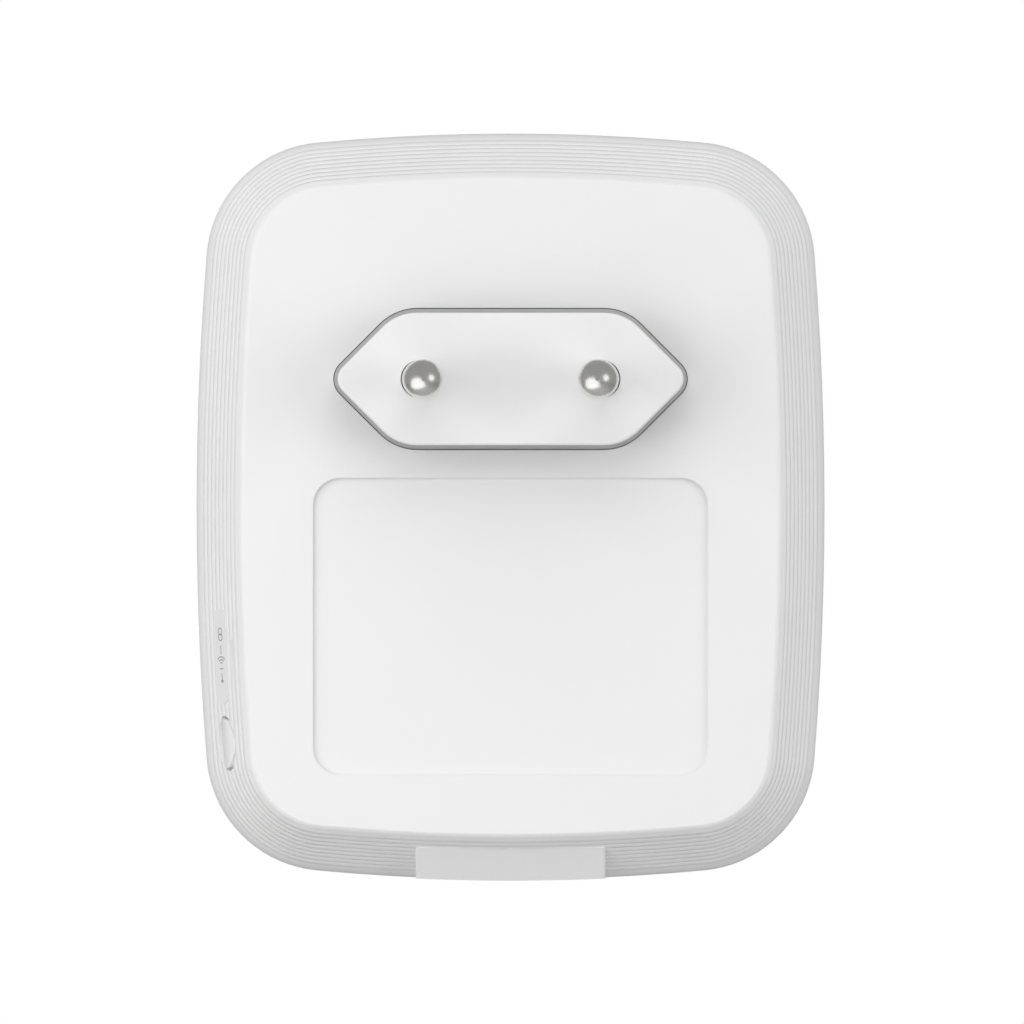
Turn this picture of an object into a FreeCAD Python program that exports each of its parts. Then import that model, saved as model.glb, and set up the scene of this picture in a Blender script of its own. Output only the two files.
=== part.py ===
import FreeCAD, Part
import math
import operator
import os
from types import SimpleNamespace

import Sketcher
from FreeCAD import Placement, Rotation, Vector

# A plug-in wireless range extender for a two-pin Euro socket, in millimetres.
# The origin is the middle of the plug's engagement face. X runs to the right for someone looking at
# the back, Y runs from the wall into the room, and Z runs up.

SIZES = {
    # Outline of the body: bowed sides and ends, joined by corner arcs
    "half_wide": 32.5,
    "half_tall": 38.6,
    "side_arc": 327.0,
    "end_arc": 214.0,
    "corner_arc": 12.6,
    "side_split": 9.5,
    # Rear cover
    "plug_rise": 13.2,
    "boss_height": 6.0,
    "body_depth": 29.0,
    "wall": 2.0,
    "slope_inset": 4.75,
    "slope_depth": 7.0,
    "edge_round": 0.35,
    "rib_bow": 0.08,
    "rim_width": 0.7,
    "rim_depth": 0.45,
    "lap_depth": 1.2,
    "lap_width": 0.9,
    "lap_gap": 0.05,
    "label_width": 40.7,
    "label_height": 30.6,
    "label_round": 2.85,
    "label_depth": 0.45,
    "label_drop": 12.26,
    "block_side": 1.7,
    "block_start": 1.28,
    "block_slant": 2.25,
    "block_round": 0.3,
    "mark_length": 9.9,
    "mark_width": 1.9,
    "mark_drop": 15.4,
    "mark_rise": 0.1,
    # Front cover
    "front_draft": 0.6,
    "front_round": 8.0,
    "window_length": 3.6,
    "window_width": 1.4,
    "window_pitch": 6.0,
    "window_drop": 25.0,
    # Plug insert, pins and their sleeves
    "face_length": 35.4,
    "face_height": 13.56,
    "tip_round": 1.7,
    "hip_round": 5.0,
    "boss_draft": 0.45,
    "face_round": 0.3,
    "insert_gap": 0.08,
    "flange_lap": 2.5,
    "flange_thick": 1.8,
    "pin_pitch": 18.6,
    "tip_pitch": 17.5,
    "pin_reach": 19.0,
    "pin_wide": 4.0,
    "pin_core": 2.8,
    "sleeve_wide": 3.66,
    "sleeve_reach": 10.0,
    "sleeve_ring": 0.12,
    "ring_depth": 0.5,
    "pin_tail": 1.0,
    # Push button and its switch
    "button_height": 5.1,
    "button_width": 2.1,
    "button_drop": 24.4,
    "button_gap": 0.3,
    "button_tip": 0.45,
    "button_rise": 0.2,
    "button_dome": 2.2,
    "button_shift": 0.2,
    "button_travel": 0.3,
    "contact_gap": 0.02,
    "switch_margin": 11.0,
    # Boards
    "board_thick": 1.2,
    "power_standoff": 4.4,
    "board_gap": 11.7,
    "board_inset": 3.0,
    "power_inset": 4.5,
    "power_bottom": 4.0,
    "main_top": 14.0,
    "boss_radius": 2.6,
    "pilot_radius": 0.8,
    "screw_reach": 5.0,
    "screw_head": 1.7,
    "screw_head_thick": 1.1,
    "screw_margin_side": 8.5,
    "screw_margin_end": 8.0,
    # Ethernet socket
    "jack_width": 15.9,
    "jack_height": 13.3,
    "jack_depth": 18.0,
    "jack_recess": 0.4,
    "jack_gap": 0.15,
    "shield_thick": 0.25,
    "port_width": 11.9,
    "port_height": 6.9,
    "port_depth": 14.0,
    "latch_width": 6.2,
    "latch_height": 2.0,
    # Aerials
    "coax_radius": 0.565,
    "aerial_length": 30.0,
    "aerial_height": 4.4,
    "aerial_thick": 0.8,
}

doc = FreeCAD.newDocument("range_extender")
sheet = doc.addObject("Spreadsheet::Sheet", "Sizes")
for row, (alias, number) in enumerate(SIZES.items(), 1):
    sheet.set("A%d" % row, alias)
    sheet.set("B%d" % row, str(number))
    sheet.setAlias("B%d" % row, alias)
doc.recompute()


class Size:
    """A length, as its value now and as the sheet formula that it follows."""

    def __init__(self, value, formula):
        self.value = value
        self.formula = formula

    def joined(self, sign, work, other, swap=False):
        pair = (self, sized(other))
        if swap:
            pair = (pair[1], pair[0])
        value = work(pair[0].value, pair[1].value)
        return Size(value, "(%s %s %s)" % (pair[0].formula, sign, pair[1].formula))

    def __add__(self, other):
        return self.joined("+", operator.add, other)

    def __radd__(self, other):
        return self.joined("+", operator.add, other, swap=True)

    def __sub__(self, other):
        return self.joined("-", operator.sub, other)

    def __rsub__(self, other):
        return self.joined("-", operator.sub, other, swap=True)

    def __mul__(self, other):
        return self.joined("*", operator.mul, other)

    def __rmul__(self, other):
        return self.joined("*", operator.mul, other, swap=True)

    def __truediv__(self, other):
        return self.joined("/", operator.truediv, other)

    def __neg__(self):
        return 0 - self

    def root(self):
        return Size(math.sqrt(self.value), "sqrt(%s)" % self.formula)


def sized(number):
    if isinstance(number, Size):
        return number
    return Size(float(number), "(%s)" % number)


def bind(item, **sizes):
    """Ties properties to sizes; two underscores in a name stand for a dot."""
    for name, size in sizes.items():
        item.setExpression(name.replace("__", "."), sized(size).formula)


s = SimpleNamespace(**{alias: Size(number, "Sizes." + alias) for alias, number in SIZES.items()})

# Levels along Y, from the wall into the room
BACK = s.boss_height
INNER = BACK + s.wall
SEAM = BACK + s.slope_depth + s.rim_depth
FRONT = BACK + s.body_depth
POWER_BACK = INNER + s.power_standoff
POWER_FACE = POWER_BACK + s.board_thick
MAIN_BACK = POWER_FACE + s.board_gap
MAIN_FACE = MAIN_BACK + s.board_thick
JACK_BACK = MAIN_BACK - s.jack_height
NOTCH_WIDTH = s.jack_width + s.jack_gap * 2
BLOCK_WIDTH = NOTCH_WIDTH + s.block_side * 2

# Heights, measured from the middle of the body
JACK_FOOT = s.jack_recess - s.half_tall
SIDE_SCREWS = s.half_wide - s.screw_margin_side
AERIAL_X = s.half_wide - 6
AERIAL_UP = 2
AERIAL_TOP = MAIN_FACE + 1 + s.aerial_height
BUTTON_INNER = s.half_wide - 7.4
PLUNGER_TIP = s.switch_margin - s.half_wide - 0.5
TILT = math.degrees(math.atan2((s.pin_pitch.value - s.tip_pitch.value) / 2, s.pin_reach.value))
RIBS = 9
PLATE_LAP = 1.0
POST_MARGIN = 5.0
GRIP = 2.4
SPRING = 0.4
PORT_FLOOR = 3.6
SWITCH_LEVEL = MAIN_BACK - 2
LINK_PITCH = 2.54
LINK_PIN = 0.35
LINK_X = -14
LINK_UP = -2.3
CAN_UP = -6.0
PLUG_X = 18.0
LEAD_UP = -3.0

subparts = []


def finished(item, label):
    """Names a sub-part and sets it at the height of the body's middle."""
    item.Label = label
    subparts.append(item)
    return item


# ---------------------------------------------------------------- sketches

def new_body(name):
    body = doc.addObject("PartDesign::Body", name)
    bind(body, Placement__Base__z=-s.plug_rise)
    doc.recompute()
    return body


def new_sketch(body, name, role, level=0):
    """Starts a sketch on one of the body's own planes, raised along that plane's normal."""
    sketch = body.newObject("Sketcher::SketchObject", name)
    plane = next(item for item in body.Origin.OriginFeatures if item.Role == role)
    sketch.AttachmentSupport = [(plane, "")]
    sketch.MapMode = "FlatFace"
    bind(sketch, AttachmentOffset__Base__z=level)
    return sketch


def rule(sketch, kind, *places, size):
    """Adds a dimension that follows the sheet."""
    size = sized(size)
    index = sketch.addConstraint(Sketcher.Constraint(kind, *places, size.value))
    sketch.setExpression("Constraints[%d]" % index, size.formula)


def pin_down(sketch, edge, point, across, up):
    """Ties a point of an edge to its place from the sketch's origin."""
    for kind, axis, size in (("DistanceX", -2, sized(across)), ("DistanceY", -1, sized(up))):
        if abs(size.value) < 1e-9:
            sketch.addConstraint(Sketcher.Constraint("PointOnObject", edge, point, axis))
        elif size.value > 0:
            rule(sketch, kind, -1, 1, edge, point, size=size)
        else:
            rule(sketch, kind, edge, point, -1, 1, size=-size)


def arc_between(start, stop, bow):
    """An arc whose middle stands off its chord by bow, to the right of the way from start to stop."""
    chord = Vector(stop[0] - start[0], stop[1] - start[1], 0)
    radius = (chord.Length ** 2 / 4 + bow ** 2) / (2 * abs(bow))
    outward = Vector(chord.y, -chord.x, 0).normalize() * math.copysign(1, bow)
    middle = Vector((start[0] + stop[0]) / 2, (start[1] + stop[1]) / 2, 0)
    centre = middle - outward * (radius - abs(bow))
    ends = [math.atan2(point[1] - centre.y, point[0] - centre.x) for point in (start, stop)]
    if bow < 0:
        ends.reverse()
    if ends[1] < ends[0]:
        ends[1] += 2 * math.pi
    return Part.ArcOfCircle(Part.Circle(centre, Vector(0, 0, 1), radius), ends[0], ends[1])


def draw(sketch, path):
    """Draws a closed outline through points; a third entry bows the edge that ends there."""
    path = [tuple(sized(entry) for entry in point) for point in path]
    edges = []
    for start, stop in zip([path[-1]] + path, path):
        ends = [(point[0].value, point[1].value) for point in (start, stop)]
        if len(stop) == 3:
            edges.append(sketch.addGeometry(arc_between(*ends, stop[2].value), False))
        else:
            line = Part.LineSegment(*(Vector(*end, 0) for end in ends))
            edges.append(sketch.addGeometry(line, False))
    clockwise = [len(point) == 3 and point[2].value < 0 for point in path]
    for i, edge in enumerate(edges):
        last = 1 if clockwise[i] else 2
        before = 1 if clockwise[i - 1] else 2
        sketch.addConstraint(Sketcher.Constraint("Coincident", edges[i - 1], before, edge, 3 - last))
        pin_down(sketch, edge, last, path[i][0], path[i][1])
        if len(path[i]) == 3:
            across = path[i][0] - path[i - 1][0]
            up = path[i][1] - path[i - 1][1]
            bow = path[i][2]
            steep = (across * across + up * up) / 4 + bow * bow
            size = steep / (2 * bow) if bow.value > 0 else steep / (-2 * bow)
            rule(sketch, "Radius", edge, size=size)


def rounded(points, radii):
    """Cuts the corners of a convex, counter-clockwise outline by tangent arcs."""
    path = []
    for i, (across, up) in enumerate(points):
        corner = Vector(sized(across).value, sized(up).value, 0)
        before = points[i - 1]
        after = points[(i + 1) % len(points)]
        ways = []
        for other in (before, after):
            way = Vector(sized(other[0]).value, sized(other[1]).value, 0) - corner
            ways.append(way.normalize())
        turn = math.pi - ways[0].getAngle(ways[1])
        run = radii[i] * math.tan(turn / 2)
        bow = radii[i] * (1 - math.cos(turn / 2))
        path.append((across + run * ways[0].x, up + run * ways[0].y))
        path.append((across + run * ways[1].x, up + run * ways[1].y, bow))
    return path


def rectangle(width, height, across=0, up=0, radius=None):
    """The outline of a rectangle round a middle point, with rounded corners where a radius is given."""
    right, left = across + width / 2, across - width / 2
    top, bottom = up + height / 2, up - height / 2
    corners = [(left, bottom), (right, bottom), (right, top), (left, top)]
    if radius is None:
        return corners
    return rounded(corners, [radius] * 4)


def pill(width, height, across=0, up=0):
    """The outline of an upright slot with round ends."""
    right, left = across + width / 2, across - width / 2
    top, bottom = up + (height - width) / 2, up - (height - width) / 2
    bow = width / 2 * (1 - math.cos(math.pi / 4))
    low, high = (across, up - height / 2, bow), (across, up + height / 2, bow)
    return [(left, bottom), low, (right, bottom, bow), (right, top), high, (left, top, bow)]


def lens(width, length, across, up):
    """A pointed oval, long upwards, with small round tips."""
    tip = s.button_tip
    end = tip / 2
    side = length / 2 - end
    bow = width / 2 - tip
    return [(across + tip, up - side, end), (across + tip, up + side, bow), (across - tip, up + side, end),
            (across - tip, up - side, bow)]


def hexagon(grow):
    """The plug's outline: a long hexagon with 45 degree ends and rounded corners."""
    half = s.face_height / 2 + grow
    tip = s.face_length / 2 + s.tip_round * (math.sqrt(2) - 1) + grow * math.sqrt(2)
    hip = tip - half
    points = [(tip, 0), (hip, half), (-hip, half), (-tip, 0), (-hip, -half), (hip, -half)]
    tip_radius, hip_radius = s.tip_round + grow, s.hip_round + grow
    radii = [tip_radius, hip_radius, hip_radius] * 2
    return rounded([(across, up + s.plug_rise) for across, up in points], radii)


def circle(sketch, radius, across, up):
    middle = Vector(sized(across).value, sized(up).value, 0)
    edge = sketch.addGeometry(Part.Circle(middle, Vector(0, 0, 1), sized(radius).value), False)
    pin_down(sketch, edge, 3, across, up)
    rule(sketch, "Radius", edge, size=radius)


def corner_centre():
    """Where the upper right corner arc is centred: it touches the side arc and the end arc."""
    side_x = s.half_wide.value - s.side_arc.value
    end_y = s.half_tall.value - s.end_arc.value
    side_gap = s.side_arc.value - s.corner_arc.value
    end_gap = s.end_arc.value - s.corner_arc.value
    apart = math.hypot(side_x, end_y)
    along = (side_gap ** 2 - end_gap ** 2 + apart ** 2) / (2 * apart)
    off = math.sqrt(side_gap ** 2 - along ** 2)
    way = Vector(-side_x, end_y, 0) / apart
    foot = Vector(side_x, 0, 0) + way * along
    return foot + Vector(-way.y, way.x, 0) * off


def outline(sketch, inset=0):
    """Draws the body's outline, moved inwards by inset, starting at the middle of its right side.

    The left side is split above the button's mark, so that the ribs above it are faces of their own.
    """
    inset = sized(inset)
    side_centre = s.side_arc - s.half_wide
    end_centre = s.end_arc - s.half_tall
    radii = {"side": s.side_arc - inset, "end": s.end_arc - inset, "corner": s.corner_arc - inset}
    corner = corner_centre()
    low = math.atan2(corner.y, corner.x + side_centre.value)
    high = math.atan2(corner.y + end_centre.value, corner.x)
    half = math.pi
    split = half + math.asin(s.side_split.value / s.side_arc.value)
    arcs = [
        ("side", -side_centre.value, 0, 0, low),
        ("corner", corner.x, corner.y, low, high),
        ("end", 0, -end_centre.value, high, half - high),
        ("corner", -corner.x, corner.y, half - high, half - low),
        ("side", side_centre.value, 0, half - low, split),
        ("side", side_centre.value, 0, split, half + low),
        ("corner", -corner.x, -corner.y, half + low, half + high),
        ("end", 0, end_centre.value, half + high, 2 * half - high),
        ("corner", corner.x, -corner.y, 2 * half - high, 2 * half - low),
        ("side", -side_centre.value, 0, 2 * half - low, 2 * half),
    ]
    edges = []
    for kind, across, up, start, stop in arcs:
        ring = Part.Circle(Vector(across, up, 0), Vector(0, 0, 1), radii[kind].value)
        edges.append(sketch.addGeometry(Part.ArcOfCircle(ring, start, stop), False))
    for edge, following in zip(edges, edges[1:]):
        sketch.addConstraint(Sketcher.Constraint("Tangent", edge, 2, following, 1))
    first, last = edges[0], edges[-1]
    sketch.addConstraint(Sketcher.Constraint("Coincident", last, 2, first, 1))
    sketch.addConstraint(Sketcher.Constraint("Coincident", last, 3, first, 3))
    sketch.addConstraint(Sketcher.Constraint("PointOnObject", first, 1, -1))
    pin_down(sketch, edges[0], 3, -side_centre, 0)
    pin_down(sketch, edges[2], 3, 0, -end_centre)
    pin_down(sketch, edges[4], 3, side_centre, 0)
    pin_down(sketch, edges[7], 3, 0, end_centre)
    rule(sketch, "DistanceY", edges[4], 2, -1, 1, size=s.side_split)
    for edge, arc in zip(edges[:-1], arcs):
        rule(sketch, "Radius", edge, size=radii[arc[0]])


# ---------------------------------------------------------------- features

def layer(body, kind, name, start, depth, drawing):
    """Pads or pockets a drawing of the body from y = start towards the room."""
    sketch = new_sketch(body, name + "_sketch", "XZ_Plane", -sized(start))
    drawing(sketch)
    feature = body.newObject("PartDesign::" + kind, name)
    feature.Profile = sketch
    feature.Reversed = kind == "Pad"
    bind(feature, Length=depth)
    return feature


def across_layer(body, kind, name, start, depth, drawing):
    """Pads or pockets a drawing of the body from x = start to the right."""
    sketch = new_sketch(body, name + "_sketch", "YZ_Plane", start)
    drawing(sketch)
    feature = body.newObject("PartDesign::" + kind, name)
    feature.Profile = sketch
    feature.Reversed = kind == "Pocket"
    bind(feature, Length=depth)
    return feature


def swept_ring(body, name, profile):
    """Sweeps a wall profile, drawn across the right side, round the body's outline."""
    path = new_sketch(body, name + "_path", "XZ_Plane")
    outline(path)
    section = new_sketch(body, name + "_section", "XY_Plane")
    draw(section, profile)
    doc.recompute()
    ring = body.newObject("PartDesign::AdditivePipe", name)
    ring.Profile = section
    ring.Spine = (path, ["Edge%d" % (i + 1) for i in range(len(path.Shape.Edges))])
    ring.Mode = "Frenet"
    return ring


def soften(body, name, radius, chosen, kind="Fillet"):
    """Rounds or chamfers the edges of the body's last feature that a test picks out."""
    doc.recompute()
    base = body.Tip
    names = []
    for i, edge in enumerate(base.Shape.Edges, 1):
        if chosen(edge):
            names.append("Edge%d" % i)
    feature = body.newObject("PartDesign::" + kind, name)
    feature.Base = (base, names)
    bind(feature, **{"Radius" if kind == "Fillet" else "Size": radius})
    return feature


def block(name, width, depth, height, across=0, level=0, up=0):
    """A box: its middle across and up, and the level where it starts along Y."""
    box = doc.addObject("Part::Box", name)
    bind(box, Length=width, Width=depth, Height=height)
    bind(box, Placement__Base__x=across - sized(width) / 2, Placement__Base__y=level)
    bind(box, Placement__Base__z=up - sized(height) / 2 - s.plug_rise)
    return box


def rod(name, radius, length, across=0, level=0, up=0, way="y"):
    """A round bar from a point towards +X, +Y or +Z."""
    turns = {
        "x": Rotation(Vector(0, 1, 0), 90),
        "y": Rotation(Vector(1, 0, 0), -90),
        "z": Rotation(),
    }
    bar = doc.addObject("Part::Cylinder", name)
    bar.Placement = Placement(Vector(), turns[way])
    bind(bar, Radius=radius, Height=length, Placement__Base__x=across, Placement__Base__y=level)
    bind(bar, Placement__Base__z=up - s.plug_rise)
    return bar


def cut(name, base, tools):
    for i, tool in enumerate(tools):
        base_cut = doc.addObject("Part::Cut", "%s_cut_%d" % (name, i + 1))
        base_cut.Base = base
        base_cut.Tool = tool
        base = base_cut
    return base


def fused(name, pieces):
    joint = doc.addObject("Part::MultiFuse", name)
    joint.Shapes = pieces
    return joint


def group(name, pieces):
    """Keeps several loose solids together in one sub-part."""
    compound = doc.addObject("Part::Compound", name)
    compound.Links = pieces
    return compound


def eased(name, base, radius, chosen=None):
    """Rounds a primitive's edges: all of them, or those that a test picks out."""
    doc.recompute()
    fillet = doc.addObject("Part::Fillet", name)
    fillet.Base = base
    edges = []
    for i, edge in enumerate(base.Shape.Edges, 1):
        if chosen is None or chosen(edge):
            edges.append((i, radius, radius))
    fillet.Edges = edges
    return fillet


# ---------------------------------------------------------------- casing

def slope_out(inset):
    """How far the sloped wall has come from the back face where its inset from the outline is given."""
    return BACK + (s.slope_inset - inset) * s.slope_depth / s.slope_inset


def rear_ring_profile():
    """The sloped, ribbed wall with its rim, the inner face and the step that the front cover laps."""
    start = s.slope_inset - s.edge_round
    pitch = (start - s.rim_width) / RIBS
    path = [(s.half_wide - s.slope_inset - s.edge_round, BACK)]
    path.append((s.half_wide - start, slope_out(start), s.edge_round / 5))
    for i in range(1, RIBS + 1):
        inset = start - pitch * i
        path.append((s.half_wide - inset, slope_out(inset), s.rib_bow))
    steep = (s.slope_inset * s.slope_inset + s.slope_depth * s.slope_depth).root()
    thick = s.wall * steep / s.slope_depth
    path.append((s.half_wide, SEAM - 0.2, s.rim_width / 8))
    path.append((s.half_wide, SEAM))
    lap = s.half_wide - s.wall + s.lap_width + s.lap_gap
    path.append((lap, SEAM))
    path.append((lap, SEAM - s.lap_depth - s.lap_gap))
    inner = s.slope_inset + thick
    shelf = (SEAM - s.lap_depth - s.lap_gap - BACK) * s.slope_inset / s.slope_depth
    path.append((s.half_wide - inner + shelf, SEAM - s.lap_depth - s.lap_gap))
    foot = s.wall * s.slope_inset / s.slope_depth
    path.append((s.half_wide - inner + foot, INNER))
    path.append((s.half_wide - inner - PLATE_LAP, INNER))
    path.append((s.half_wide - inner - PLATE_LAP, BACK))
    return path


def front_ring_profile():
    """The front cover's side wall, tongue, rounded edge and the start of its front."""
    round_start = FRONT - s.front_round
    waist = s.half_wide - s.front_draft
    bow = s.front_round * (1 - math.cos(math.pi / 4))
    shoulder = waist - s.front_round
    inner_round = s.front_round - s.wall
    inner_bow = inner_round * (1 - math.cos(math.pi / 4))
    tongue = s.half_wide - s.wall
    return [
        (s.half_wide, SEAM),
        (waist, round_start),
        (shoulder, FRONT, bow),
        (shoulder - PLATE_LAP, FRONT),
        (shoulder - PLATE_LAP, FRONT - s.wall),
        (shoulder, FRONT - s.wall),
        (waist - s.wall, round_start, -inner_bow),
        (tongue, SEAM + s.lap_depth),
        (tongue, SEAM - s.lap_depth),
        (tongue + s.lap_width, SEAM - s.lap_depth),
        (tongue + s.lap_width, SEAM),
    ]


def power_posts():
    """Where the power board is screwed down, measured from the body's middle."""
    low = POST_MARGIN - s.power_bottom
    high = s.half_tall - s.screw_margin_end - 1
    sides = (-1, 1)
    return [(side * SIDE_SCREWS, low) for side in sides] + [(side * (SIDE_SCREWS - 3), high) for side in sides]


def main_posts():
    """Where the main board is screwed down, measured from the body's middle."""
    low = s.screw_margin_end - s.half_tall
    high = s.main_top - s.screw_margin_end / 2
    return [(side * (SIDE_SCREWS - 2), up) for side in (-1, 1) for up in (low, high)]


def screw_posts(body, name, start, length, places):
    """Round posts from the cover to a board, with pilot holes for the screws."""
    for i, (across, up) in enumerate(places):
        layer(body, "Pad", "%s_%d" % (name, i + 1), start, length,
              lambda sketch: circle(sketch, s.boss_radius, across, up))


def slope_place(drop, rise):
    """A sketch placement on the left slope, rise above the rib crests, at a height below the middle."""
    turn = math.asin(drop.value / s.side_arc.value)
    lean = math.atan2(s.slope_inset.value, s.slope_depth.value)
    out = Vector(-math.cos(lean) * math.cos(turn), -math.sin(lean), -math.cos(lean) * math.sin(turn))
    upward = Vector(-math.sin(turn), 0, math.cos(turn))
    inset = s.slope_inset.value / 2
    radius = s.side_arc.value - inset
    across = s.side_arc.value - s.half_wide.value - radius * math.cos(turn)
    place = Vector(across, slope_out(s.slope_inset / 2).value, -drop.value) + out * rise.value
    to_plane = Rotation(Vector(0, 1, 0), Vector(0, 0, 1), Vector(1, 0, 0), "ZXY").inverted()
    turned = Rotation(upward.cross(out), upward, out, "ZXY")
    return Placement(to_plane.multVec(place), to_plane.multiply(turned))


def on_slope(body, name, drop, rise, drawing, upright=False):
    """Starts a sketch that lies along the left slope, or one that stands square to it and to its length."""
    sketch = new_sketch(body, name + "_sketch", "YZ_Plane")
    sketch.setExpression("AttachmentOffset.Base.z", None)
    stand = Placement(Vector(), Rotation(Vector(1, 0, 0), 90 if upright else 0))
    sketch.AttachmentOffset = slope_place(drop, rise).multiply(stand)
    drawing(sketch)
    return sketch


def port_block(body):
    """The smooth block at the middle of the bottom, over the back edge of the network socket."""
    side = BLOCK_WIDTH / 2
    centre = s.end_arc - s.half_tall
    foot = centre - (s.end_arc * s.end_arc - side * side).root()
    top = s.wall * 2.5 - s.half_tall
    path = [(side, top), (-side, top), (-side, foot), (side, foot, foot + s.half_tall)]
    start = slope_out(s.slope_inset - s.block_start)
    layer(body, "Pad", "port_block", start, SEAM - start, lambda sketch: draw(sketch, path))
    edge = s.slope_inset - s.block_start - s.half_tall
    slant = [(start - 1, edge), (start - 1, edge - s.slope_inset), (start + slant_out(s.slope_inset),
             edge - s.slope_inset), (start, edge)]
    across_layer(body, "Pocket", "block_slant", -side - 1, BLOCK_WIDTH + 2,
                 lambda sketch: draw(sketch, slant))


def slant_out(run):
    """How far the port block's slanting face comes forward over a run towards the outline."""
    return run * s.block_slant / (s.slope_inset - s.block_start)


def is_block_edge(edge):
    """Whether an edge runs down one side of the port block's slanting face."""
    return edge.BoundBox.XLength < 1e-6 and edge.BoundBox.YLength > 1 and edge.BoundBox.ZLength > 1


def port_notch(body, start, depth):
    """The gap in a cover that the network socket shows through."""
    top = JACK_FOOT + s.jack_depth + s.jack_gap
    low = -s.half_tall - s.wall
    layer(body, "Pocket", "port_notch", start, depth,
          lambda sketch: draw(sketch, rectangle(NOTCH_WIDTH, top - low, 0, (top + low) / 2)))


def make_rear_cover():
    body = new_body("rear_cover")
    steep = (s.slope_inset * s.slope_inset + s.slope_depth * s.slope_depth).root()
    inset = s.slope_inset + s.wall * steep / s.slope_depth
    port_block(body)
    soften(body, "block_edges", s.block_round, is_block_edge)
    layer(body, "Pad", "back_plate", BACK, s.wall, lambda sketch: outline(sketch, inset))
    swept_ring(body, "sloped_wall", rear_ring_profile())
    port_notch(body, JACK_BACK - s.jack_gap, SEAM - JACK_BACK + s.jack_gap + 1)
    layer(body, "Pocket", "plug_opening", BACK - 1, s.wall + 2,
          lambda sketch: draw(sketch, hexagon(s.boss_draft + s.insert_gap)))
    label = rectangle(s.label_width, s.label_height, 0, -s.label_drop, s.label_round)
    layer(body, "Pocket", "label_recess", BACK - 1, s.label_depth + 1, lambda sketch: draw(sketch, label))
    screw_posts(body, "power_post", INNER - 0.5, s.power_standoff + 0.5, power_posts())
    for i, (across, up) in enumerate(power_posts()):
        layer(body, "Pocket", "pilot_%d" % (i + 1), POWER_BACK - s.screw_reach + s.board_thick,
              s.screw_reach, lambda sketch: circle(sketch, s.pilot_radius, across, up))
    mark = on_slope(body, "mark", s.mark_drop, s.mark_rise,
                    lambda sketch: draw(sketch, pill(s.mark_width, s.mark_length)))
    smooth = body.newObject("PartDesign::Pad", "mark")
    smooth.Profile = mark
    smooth.Reversed = True
    bind(smooth, Length=s.mark_rise + 0.6)
    slot = lens(s.button_width + s.button_gap * 2, s.button_height + s.button_gap * 2,
                slope_out(s.slope_inset / 2), -s.button_drop)
    across_layer(body, "Pocket", "button_hole", -s.half_wide - 1, s.slope_inset + s.wall + 6,
                 lambda sketch: draw(sketch, slot))
    return finished(body, "rear_cover")


def make_front_cover():
    body = new_body("front_cover")
    inset = s.front_draft + s.front_round
    layer(body, "Pad", "front_plate", FRONT - s.wall, s.wall, lambda sketch: outline(sketch, inset))
    swept_ring(body, "side_wall", front_ring_profile())
    port_notch(body, SEAM - s.lap_depth - 1, MAIN_BACK + s.jack_gap - SEAM + s.lap_depth + 1)
    tongue_gap = rectangle(BLOCK_WIDTH + s.lap_gap * 2, s.wall * 3, 0, -s.half_tall)
    layer(body, "Pocket", "tongue_gap", SEAM - s.lap_depth - 1, s.lap_depth + 1,
          lambda sketch: draw(sketch, tongue_gap))
    screw_posts(body, "main_post", MAIN_FACE, FRONT - s.wall - MAIN_FACE + 0.5, main_posts())
    for i, (across, up) in enumerate(main_posts()):
        layer(body, "Pocket", "pilot_%d" % (i + 1), MAIN_BACK, s.screw_reach,
              lambda sketch: circle(sketch, s.pilot_radius, across, up))
    for i, across in enumerate((-s.window_pitch, 0, s.window_pitch)):
        window = pill(s.window_width, s.window_length, across, -s.window_drop)
        layer(body, "Pocket", "window_%d" % (i + 1), FRONT - s.wall - 1, s.wall + 2,
              lambda sketch: draw(sketch, window))
    for side in (-1, 1):
        for up in (AERIAL_UP - s.aerial_length / 3, AERIAL_UP + s.aerial_length / 3):
            grip = rectangle(s.aerial_thick + 2, 3, side * AERIAL_X, up)
            layer(body, "Pad", "aerial_grip", AERIAL_TOP - GRIP, FRONT - s.wall - AERIAL_TOP + GRIP,
                  lambda sketch: draw(sketch, grip))
        groove = rectangle(s.aerial_thick, s.aerial_length + 1, side * AERIAL_X, AERIAL_UP)
        layer(body, "Pocket", "aerial_groove", AERIAL_TOP - 4, 4, lambda sketch: draw(sketch, groove))
    return finished(body, "front_cover")


# ---------------------------------------------------------------- plug

def pin_tilt(side):
    """The placement of one pin: at the face plane, leaning towards the other pin."""
    return Placement(Vector(side * s.pin_pitch.value / 2, 0, 0), Rotation(Vector(0, 0, 1), -side * TILT))


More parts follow.
